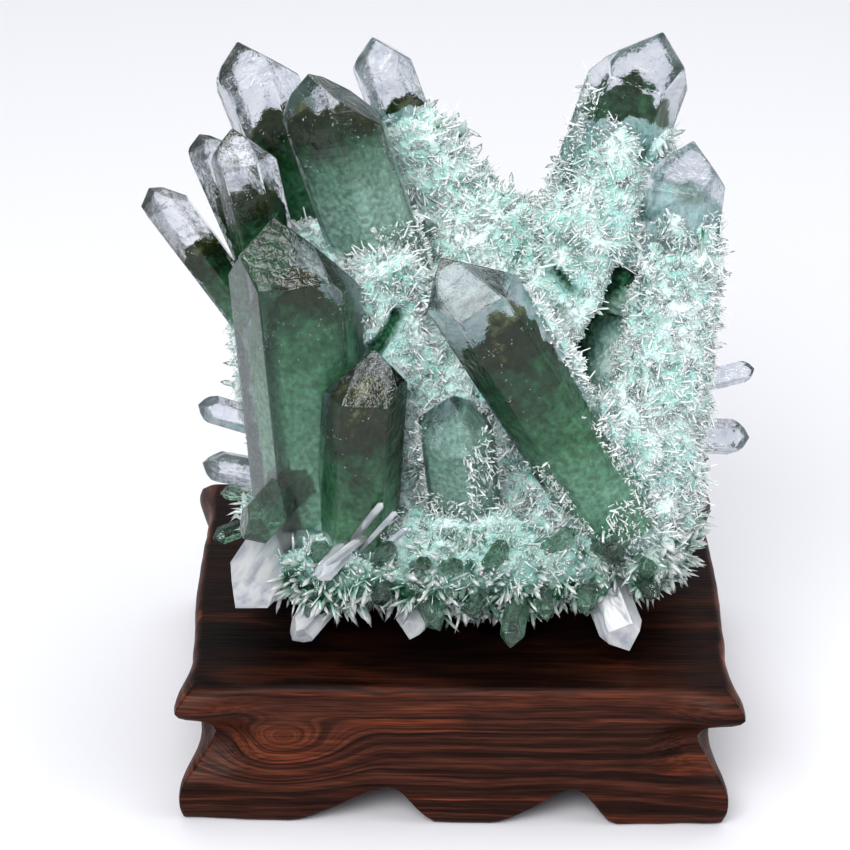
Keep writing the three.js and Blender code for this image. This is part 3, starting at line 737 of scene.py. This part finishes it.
def ghost_spec(spec, ghost):
    """The point that a phantom once was."""
    shift, clear, share = ghost
    axis, across, _ = axes_of(spec)
    inner = dict(spec)
    inner["root"] = tuple(Vector(spec["root"]) + across * shift + axis * 2)
    inner["tip"] = tuple(Vector(spec["tip"]) + across * (shift + spec.get("apex", (0, 0))[0] * 0.4) - axis * clear)
    inner["apex"] = (0, 0)
    inner["width"] = spec["width"] * share
    return inner


def phantoms(material):
    """The green phantoms: older, dusty crystals inside the clear ones."""
    with_ghosts = [s for s in POINTS if s["ghosts"]]
    everything = bmesh.new()
    for spec in with_ghosts:
        for ghost in spec["ghosts"]:
            one = cut_point(ghost_spec(spec, ghost))
            mesh = bpy.data.meshes.new("ghost")
            one.to_mesh(mesh)
            one.free()
            everything.from_mesh(mesh)
            bpy.data.meshes.remove(mesh)
    made = as_object("green_phantoms", everything, material)
    mesh = fused(made, DUST_VOXEL)
    rounded = bmesh.new()
    rounded.from_mesh(mesh)
    for _ in range(DUST_ROUNDING):
        bmesh.ops.smooth_vert(
            rounded, verts=rounded.verts, factor=0.5, use_axis_x=True, use_axis_y=True, use_axis_z=True)
    rounded.to_mesh(mesh)
    rounded.free()
    places, facing = read(mesh.vertices, "co", 3) / MM, read(mesh.vertices, "normal", 3)
    normals, offsets = plane_arrays(with_ghosts)
    owner = depth_outside(places, with_ghosts).argmin(1)
    tops = np.array([min(g[1] for g in s["ghosts"]) for s in with_ghosts], float)
    axes = np.array([tuple(axes_of(s)[0]) for s in with_ghosts])
    tips = np.array([s["tip"] for s in with_ghosts], float)
    down = -np.einsum("ij,ij->i", places - tips[owner], axes[owner]) - tops[owner]
    rough, coarse = wavy(places, 0.45), wavy(places, 0.16, (9, 4, 2))
    mossy = np.clip(1 - down / MOSS_DEPTH, 0.1, 1)
    places += facing * (rough * DUST_RELIEF * mossy + coarse * DUST_RELIEF * mossy)[:, None]
    walls, walls_at = normals[owner], offsets[owner]
    every = np.arange(len(places))
    for _ in range(2):
        gaps = np.einsum("nij,nj->ni", walls, places) - walls_at + DUST_SKIN
        worst = gaps.argmax(1)
        over = np.clip(gaps[every, worst], 0, None)
        places -= walls[every, worst] * over[:, None]
    mesh.vertices.foreach_set("co", (places * MM).ravel())

    def of_owner(key, usual):
        return np.array([s.get(key, usual) for s in with_ghosts])[owner]

    down += AGE_LENGTH * of_owner("age", 0)
    store(mesh, "depth", np.clip(down / of_owner("fade", FADE), 0, 1))
    store(mesh, "milk", np.clip(of_owner("milk", MILK) + 0.35 * np.clip((down - MILK_START) / 15, 0, 1), 0, 1))
    mesh.shade_smooth()
    mesh.update()
    return made


def from_segment(places, start, end):
    """Distances from a segment, and how far along it the nearest place is."""
    start, way = np.array(start, float), np.array(end, float) - np.array(start, float)
    along = np.clip((places - start) @ way / (way @ way), 0, 1)
    return np.linalg.norm(places - start - along[:, None] * way, axis=1), along


def clefts(places):
    """How dark the clefts' painted shade makes the crust, and how deep the clefts sink it."""
    dark, sunk = np.zeros(len(places)), np.zeros(len(places))
    for cleft in CLEFTS:
        away, _ = from_segment(places * CLEFT_SLAB, cleft["start"] * CLEFT_SLAB, cleft["end"] * CLEFT_SLAB)
        share = np.exp(-(away / cleft["width"]) ** 2)
        dark = np.maximum(dark, share)
        sunk = np.maximum(sunk, share * cleft["depth"])
    return np.clip(dark * 1.6, 0, 1), sunk


def pockets(places):
    """Small gaps in the crust, where the green ground shows, darkened with painted shade."""
    return np.clip((wavy(places, 0.16, (7, 3, 1)) - 0.3) / 0.3, 0, 0.6)


def lowness(places, top=74, fall=14):
    """1 along the lower edge of the cluster, 0 from a little above it."""
    return np.clip((top - places[:, 2]) / fall, 0, 1)


def crust_bed(material):
    """The bed that the needles stand on: the lumps and coated crystals, less a needle's length."""
    bm = bmesh.new()
    for lump in LUMPS.values():
        size = Vector(r - NEEDLE_ROOM for r in lump["radii"])
        place = Matrix.Translation(lump["at"]) @ Matrix.Diagonal((*size, 1))
        bmesh.ops.create_icosphere(bm, subdivisions=4, radius=1, matrix=place)
    for coat in COATS.values():
        start, end = Vector(coat["start"]), Vector(coat["end"])
        along = end - start
        low, high = (coat[size] - coat.get("room", COAT_ROOM) for size in ("low", "high"))
        turn = along.to_track_quat("Z", "Y").to_matrix().to_4x4()
        bmesh.ops.create_cone(bm, cap_ends=True, segments=24, radius1=low, radius2=high, depth=along.length,
                              matrix=Matrix.Translation((start + end) / 2) @ turn)
        for place, radius in ((start, low), (end, high)):
            bmesh.ops.create_icosphere(bm, subdivisions=3, radius=radius, matrix=Matrix.Translation(place))
    made = as_object("crust_bed", bm, material)
    mesh = fused(made, BED_VOXEL)
    places, facing = read(mesh.vertices, "co", 3) / MM, read(mesh.vertices, "normal", 3)
    swell = 1.8 * wavy(places, 0.09) + 2.2 * wavy(places, 0.24, (5, 5, 5)) + wavy(places, 0.6)
    dark, sunk = clefts(places)
    places += facing * (swell - sunk)[:, None]
    mesh.vertices.foreach_set("co", (places * MM).ravel())
    # Painted shade for the bed's colour: dark in the clefts and pockets and along the lower edge, over its chlorite
    # green.
    store(mesh, "shade", np.clip(np.maximum(dark, pockets(places)) + 0.9 * lowness(places), 0, 1))
    bm = bmesh.new()
    bm.from_mesh(mesh)
    everything = bm.verts[:] + bm.edges[:] + bm.faces[:]
    cut = bmesh.ops.bisect_plane(
        bm, geom=everything, plane_co=(0, 0, REST_HEIGHT * MM), plane_no=(0, 0, -1), clear_outer=True)
    rim = [e for e in cut["geom_cut"] if isinstance(e, bmesh.types.BMEdge)]
    bmesh.ops.edgenet_fill(bm, edges=rim)
    bmesh.ops.recalc_face_normals(bm, faces=bm.faces)
    bm.to_mesh(mesh)
    bm.free()
    mesh.shade_smooth()
    return made


def surface_samples(made, count):
    """Places spread evenly over an object's surface, and the way the surface faces there."""
    mesh = made.data
    mesh.calc_loop_triangles()
    corners = read(mesh.loop_triangles, "vertices", 3, int)
    a, b, c = (read(mesh.vertices, "co", 3)[corners] / MM).transpose(1, 0, 2)
    cross = np.cross(b - a, c - a)
    area = np.linalg.norm(cross, axis=1)
    pick = rng.choice(len(area), count, p=area / area.sum())
    u, v = rng.random(count), rng.random(count)
    over = u + v > 1
    u[over], v[over] = 1 - u[over], 1 - v[over]
    a, b, c = a[pick], b[pick], c[pick]
    return a + (b - a) * u[:, None] + (c - a) * v[:, None], cross[pick] / area[pick][:, None]


def needle_shape(sides, taper):
    """One needle of length 1 and width 1 along +Z, as corner places and face lists."""
    bm = bmesh.new()
    bmesh.ops.create_cone(bm, cap_ends=True, segments=sides, radius1=0.5, radius2=0.45, depth=1 - taper,
                          matrix=Matrix.Translation((0, 0, (1 - taper) / 2)))
    top = max(bm.faces, key=lambda f: f.calc_center_median().z)
    bmesh.ops.poke(bm, faces=[top])
    summit = max(bm.verts, key=lambda v: (round(v.co.z, 6), -v.co.xy.length))
    summit.co.z = 1
    bmesh.ops.recalc_face_normals(bm, faces=bm.faces)
    bm.verts.index_update()
    places = np.array([tuple(v.co) for v in bm.verts])
    faces = [[v.index for v in f.verts] for f in bm.faces]
    bm.free()
    return places, faces


def copies(name, shape, material, roots, ways, lengths, widths, tones, moss):
    """One mesh of many needles, from arrays of where they stand and how they point."""
    corners, faces = shape
    count = len(roots)
    side = unit(np.cross(ways, rng.normal(size=(count, 3))))
    other = np.cross(ways, side)
    places = (roots[:, None]
              + corners[None, :, 0, None] * (side * widths[:, None])[:, None]
              + corners[None, :, 1, None] * (other * widths[:, None] * NEEDLE_FLAT)[:, None]
              + corners[None, :, 2, None] * (ways * lengths[:, None])[:, None])
    loops = np.array([i for f in faces for i in f])
    starts = np.cumsum([0] + [len(f) for f in faces[:-1]])
    mesh = bpy.data.meshes.new(name)
    mesh.vertices.add(count * len(corners))
    mesh.vertices.foreach_set("co", (places * MM).astype(np.float32).ravel())
    mesh.loops.add(count * len(loops))
    step = np.arange(count)[:, None]
    mesh.loops.foreach_set("vertex_index", (loops[None] + step * len(corners)).astype(np.int32).ravel())
    mesh.polygons.add(count * len(faces))
    mesh.polygons.foreach_set("loop_start", (starts[None] + step * len(loops)).astype(np.int32).ravel())
    store(mesh, "reach", np.tile(corners[:, 2], count))
    store(mesh, "tone", np.repeat(tones, len(corners)))
    store(mesh, "moss", np.repeat(moss, len(corners)))
    mesh.materials.append(material)
    mesh.update(calc_edges=True)
    return linked(name, mesh)


def tufted(places, facing, fan, stray):
    """Directions that fan out of the bed in tufts."""
    LEAST_RISE = 0.15
    sway = np.array([noise.noise_vector(Vector(p) * 0.22) for p in places])
    ways = unit(facing + sway * fan + rng.normal(size=places.shape) * stray)
    rise = np.einsum("ij,ij->i", ways, facing)
    return unit(ways + facing * np.clip(LEAST_RISE - rise, 0, None)[:, None])


def moss_and_cleft_shade(places):
    """How green the crust is: most along the lower edge, with patches, and least where it snows; the clefts add
    painted shade, as darker green.
    """
    low = lowness(places, top=84, fall=26)
    patches = wavy(places, 0.075, (3, 1, 7)) + 0.7 * wavy(places, 0.33)
    moss = 0.08 + 0.5 * low + 0.42 * patches
    for spot in SNOW:
        away = np.linalg.norm(places - np.array(spot["at"]), axis=1)
        moss -= spot.get("amount", SNOW_AMOUNT) * np.exp(-(away / spot["reach"]) ** 2)
    # Painted shade: the clefts turn the needles darker green.
    return np.clip(moss + clefts(places)[0], 0, 1)


def ground(bed, clear, count, on_crystals):
    """Places for needles: on the bed, and on the crystals where a coat covers them."""
    places, facing = surface_samples(bed, count)
    onto, out = surface_samples(clear, on_crystals)
    coated = np.zeros(len(onto), bool)
    for coat in COATS.values():
        away, along = from_segment(onto, coat["start"], coat["end"])
        coated |= away < coat["low"] + (coat["high"] - coat["low"]) * along + 0.6
    ragged = 0.08 * wavy(onto, 0.2)
    for coat in SIDE_COATS:
        spec = next(s for s in POINTS if s["name"] == coat["on"])
        share = (onto - np.array(spec["root"])) @ np.array(axes_of(spec)[0]) / length_of(spec)
        way = np.array(coat["way"]) / np.linalg.norm(coat["way"])
        on_it = np.abs(depth_outside(onto, [spec])[:, 0]) < 0.4
        coated |= on_it & (share > coat["start"]) & (share + ragged < coat["end"]) & (out @ way > 0.45)
    # The right side of the tall point on the right is bare.
    bare_side = (out[:, 0] > 0.3) & (onto[:, 2] > 150) & (onto[:, 0] < 62)
    coated &= ~bare_side & (out[:, 2] > -0.8)
    return np.concatenate([places, onto[coated]]), np.concatenate([facing, out[coated]])


def thinned(spots, in_pockets, at_edge):
    """Fewer needles in the clefts and pockets and along the lower edge."""
    places, facing = spots
    chance = 1 - (1 - in_pockets) * pockets(places)
    chance *= 1 - clefts(places)[0]
    chance *= 1 - (1 - at_edge) * lowness(places)
    keep = rng.random(len(places)) < chance
    return places[keep], facing[keep]


def edge_ground(bed, count):
    """Places along the lower edge, and a few above it, mostly at the front and sides."""
    MIDDLE = 8
    places, facing = surface_samples(bed, count)
    chance = lowness(places) * np.where(places[:, 1] < MIDDLE, 0.9, 0.6) + 0.02
    keep = rng.random(len(places)) < chance
    return places[keep], facing[keep]


def planted(places, ways, lengths, sink):
    """Which needles keep clear of the crystals and the stand, and where they are rooted."""
    solids = POINTS + FROSTED_POINTS + [DARK_BLOCK] + CLEAR_BUDS
    roots = places - ways * sink
    tips = roots + ways * lengths[:, None]
    keep = depth_outside(places, solids).min(1) > -0.05
    keep &= depth_outside(roots + ways * lengths[:, None] * 0.6, solids).min(1) > 0
    keep &= depth_outside(tips, solids).min(1) > 0
    keep &= clefts(tips)[0] < 0.4
    keep &= (tips[:, 2] > REST_HEIGHT + 0.2) & (places[:, 2] > REST_HEIGHT + 0.6)
    return keep, roots


def crust(kind, material, spots):
    """Thousands of needles of one kind, in a few pieces."""
    def sizes(least, spread, power):
        return least + spread * rng.random(len(places)) ** power

    places, facing = spots
    shape = needle_shape(kind["sides"], kind["taper"])
    lengths, widths = sizes(*kind["length"]), sizes(*kind["width"])
    ways = tufted(places, facing, kind["fan"], kind["stray"])
    keep, roots = planted(places, ways, lengths, kind["sink"])
    kept = np.flatnonzero(keep)
    moss = moss_and_cleft_shade(places)
    made = []
    for start in range(0, len(kept), kind["per_piece"]):
        part = kept[start:start + kind["per_piece"]]
        made.append(copies(f"{kind['name']}_{len(made) + 1}", shape, material, roots[part], ways[part],
                           lengths[part], widths[part], rng.random(len(part)), moss[part]))
    return made


def all_needles(bed, clear):
    """Every kind of needle, from the felt to the blades of the lower edge."""
    fine = needle_quartz()
    stuff = dict(needle_felt=fine, needle_crust=fine, clear_laths=clear_laths_quartz(), edge_blades=green_blades())
    made = []
    for kind in NEEDLES:
        if kind["name"] == "edge_blades":
            spots = edge_ground(bed, kind["on_bed"])
        else:
            spots = ground(bed, clear, kind["on_bed"], kind["on_crystals"])
            spots = thinned(spots, kind["in_pockets"], kind["at_edge"])
        made += crust(kind, stuff[kind["name"]], spots)
    return made


def flecks(material):
    """Veils of tiny bubbles and healed cracks inside the large points."""
    SHEETS = 5
    FLECKS = 260
    places, ways = [], []
    for spec in POINTS:
        axis = axes_of(spec)[0]
        for _ in range(SHEETS):
            middle = Vector(spec["tip"]) - axis * float(rng.uniform(0.08, 0.45)) * length_of(spec)
            tilt = Vector(rng.normal(size=3)).normalized()
            u = tilt.orthogonal().normalized()
            v = tilt.cross(u)
            spread = rng.uniform(-1, 1, (FLECKS, 2)) * spec["width"] * 0.6
            sheet = np.array(middle) + spread[:, :1] * np.array(u) + spread[:, 1:] * np.array(v)
            curl = wavy(sheet, 0.25)
            sheet += np.array(tilt) * (curl * 3)[:, None] + rng.normal(size=sheet.shape) * 0.12
            wispy = wavy(sheet, 0.3, (1, 8, 4)) > 0.05
            inside = depth_outside(sheet, [spec])[:, 0] < -0.7
            sheet = sheet[wispy & inside]
            places.append(sheet)
            ways.append(np.tile(np.array(u), (len(sheet), 1)) + rng.normal(size=sheet.shape) * 0.4)
    places, ways = np.concatenate(places), unit(np.concatenate(ways))
    count = len(places)
    return copies("inner_flecks", needle_shape(3, 0.4), material, places, ways, rng.uniform(0.2, 0.6, count),
                  rng.uniform(0.15, 0.45, count), rng.random(count), np.zeros(count))


def along_profile(stops, height):
    """A smooth curve through the profile's stops (Catmull-Rom)."""
    xs = [s[0] for s in stops]
    ys = [s[1] for s in stops]
    for i in range(len(xs) - 1):
        if height <= xs[i + 1] or i == len(xs) - 2:
            t = (height - xs[i]) / (xs[i + 1] - xs[i])
            p0, p1, p2, p3 = ys[max(i - 1, 0)], ys[i], ys[i + 1], ys[min(i + 2, len(ys) - 1)]
            return 0.5 * (2 * p1 + (p2 - p0) * t + (2 * p0 - 5 * p1 + 4 * p2 - p3) * t * t
                          + (3 * p1 - p0 - 3 * p2 + p3) * t ** 3)


def smoothstep(value, low, high):
    t = min(1, max(0, (value - low) / (high - low)))
    return t * t * (3 - 2 * t)


def arch_height(x, left, right):
    """The front arches climb gently from the left and drop steeply on the right."""
    if not left < x < right:
        return 0
    peak = left + (right - left) * 0.64
    if x < peak:
        return ARCH_HEIGHT * smoothstep(x, left, peak + 2) ** 0.9
    return ARCH_HEIGHT * (1 - smoothstep(x, peak + 1, right)) ** 0.8


def underside(x, y):
    """How high the underside is cut away above the table."""
    half = SIDE_ARCH_WIDTH / 2
    side = ARCH_HEIGHT * (1 - smoothstep(abs(y), half - SIDE_ARCH_FLARE, half))
    return max([arch_height(x, left, right) for left, right in FRONT_ARCHES] + [side])


def carved_stand(material):
    """The stand, one carved block: a cube in fine strips, each corner moved to the carving."""
    bm = bmesh.new()
    bmesh.ops.create_cube(bm, size=2)
    for axis, cuts in enumerate(STAND_STRIPS):
        rows = [e for e in bm.edges if abs((e.verts[0].co - e.verts[1].co)[axis]) > 1e-4]
        bmesh.ops.subdivide_edges(bm, edges=rows, cuts=cuts, use_grid_fill=True)
    for v in bm.verts:
        x, y = (math.copysign(1 - (1 - abs(c)) ** STRIP_CROWDING, c) for c in v.co.xy)
        share = 0.5 - 0.5 * math.cos(math.pi * (v.co.z + 1) / 2)
        floor = underside(x * STAND_WIDTH / 2, y * STAND_DEPTH / 2)
        z = (floor + (STAND_HEIGHT - floor) * share) / STAND_HEIGHT
        corner, front, side = (along_profile(p, z) for p in (CORNER_PROFILE, FRONT_PROFILE, SIDE_PROFILE))
        near = smoothstep(abs(x), 0.7, 0.97) * smoothstep(abs(y), 0.66, 0.97)
        plain = front if abs(y) > abs(x) else side
        rim = max(abs(x), abs(y))
        out = (plain + (corner - plain) * near) * smoothstep(rim, 0.5, 1)
        height = z * STAND_HEIGHT
        edge = max(0, 1 - (height - floor) / EDGE_ROUND, 1 - (STAND_HEIGHT - height) / EDGE_ROUND)
        out -= EDGE_ROUND * (1 - math.sqrt(max(0, 1 - edge * edge))) * smoothstep(rim, 0.9, 1)
        out += CHISEL_MARKS * noise.noise(Vector((x * 9, y * 7, z * 3))) - 0.2
        round_x = 1 - SIDE_BULGE * (1 - math.sqrt(1 - y * y / 2))
        round_y = 1 - FRONT_BULGE * (1 - math.sqrt(1 - x * x / 2))
        v.co = Vector((x * round_x * (STAND_WIDTH / 2 + out) + STAND_LEAN * z,
                       y * round_y * (STAND_DEPTH / 2 + out), z * STAND_HEIGHT))
    bmesh.ops.recalc_face_normals(bm, faces=bm.faces)
    made = as_object("carved_stand", bm, material)
    made.data.shade_smooth()
    return made


def camera():
    """The camera, where the picture was taken from."""
    DISTANCE = 822
    ELEVATION, AZIMUTH, ROLL = (math.radians(a) for a in (28.5, -0.6, 1.0))
    TARGET = Vector((-8.6, 0, 90))
    level = math.cos(ELEVATION)
    back = Vector((math.sin(AZIMUTH) * level, -math.cos(AZIMUTH) * level, math.sin(ELEVATION)))
    right = Vector((math.cos(AZIMUTH), math.sin(AZIMUTH), 0))
    up = back.cross(right)
    right_rolled = right * math.cos(ROLL) + up * math.sin(ROLL)
    up_rolled = up * math.cos(ROLL) - right * math.sin(ROLL)
    data = bpy.data.cameras.new("camera")
    data.lens = 130
    data.sensor_width = 36
    made = linked("camera", data)
    turn = Matrix((right_rolled, up_rolled, back)).transposed().to_4x4()
    made.matrix_world = Matrix.Translation((TARGET + back * DISTANCE) * MM) @ turn
    bpy.context.scene.camera = made


def softbox(name, place, size, watts):
    """A soft lamp that looks at the middle of the part. Places and sizes are metres."""
    MIDDLE = Vector((0, 0, 0.1))
    data = bpy.data.lights.new(name, "AREA")
    data.shape = "RECTANGLE"
    data.size, data.size_y = size
    data.energy = watts
    made = linked(name, data)
    made.location = place
    made.rotation_euler = (MIDDLE - Vector(place)).to_track_quat("-Z", "Y").to_euler()


def studio():
    """A white sheet and soft light from all round, strongest from the front left."""
    FLOOR = 4000
    bm = bmesh.new()
    bmesh.ops.create_grid(bm, x_segments=1, y_segments=1, size=FLOOR)
    floor = as_object("floor", bm, white_paper())
    softbox("window_front", (-0.35, -0.9, 0.95), (0.9, 0.7), 12.2)
    softbox("skylight", (0.1, 0.3, 1.1), (0.8, 0.6), 3.2)
    softbox("window_right", (0.9, -0.3, 0.6), (0.4, 0.6), 2.0)
    world = bpy.data.worlds.new("studio")
    bpy.context.scene.world = world
    world.use_nodes = True
    way = node(world, "TexCoord").outputs["Generated"]
    up = node(world, "SeparateXYZ", {"Vector": way}).outputs["Z"]
    sky = ramp(world, up, [(0.0, "d4d8de"), (0.25, "e2e5ea"), (0.6, "f0f2f6"), (1.0, "ffffff")])
    background = world.node_tree.nodes["Background"]
    world.node_tree.links.new(sky, background.inputs["Color"])
    background.inputs["Strength"].default_value = 0.68
    view = bpy.context.scene.view_settings
    view.view_transform = "Standard"
    view.look = "Medium High Contrast"


def build():
    """The camera and the light, then every piece of the cluster, then the stand."""
    camera()
    studio()
    clear = joined("clear_points", POINTS + CLEAR_BUDS, clear_quartz(), bevel=0.35, slim_bevel=0.2)
    mark_growth(clear, POINTS + CLEAR_BUDS, milky_quartz())
    small = joined("low_points", FROSTED_POINTS + LATHS, frosted_quartz(), bevel=0.15)
    mark_growth(small, FROSTED_POINTS + LATHS)
    rim = rim_points() + [DARK_BLOCK]
    stout = joined("rim_points", rim, green_rim_quartz(), bevel=0.12)
    mark_growth(stout, rim)
    ghosts = phantoms(phantom_dust())
    bed = crust_bed(green_bed())
    veils = flecks(inner_flecks())
    for piece in [clear, small, stout, ghosts, bed, veils] + all_needles(bed, clear):
        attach(piece, "root")
    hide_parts("quartz_cluster")
    stand = carved_stand(dark_hardwood())
    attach(stand, "root")
    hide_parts("wooden_stand")


build()
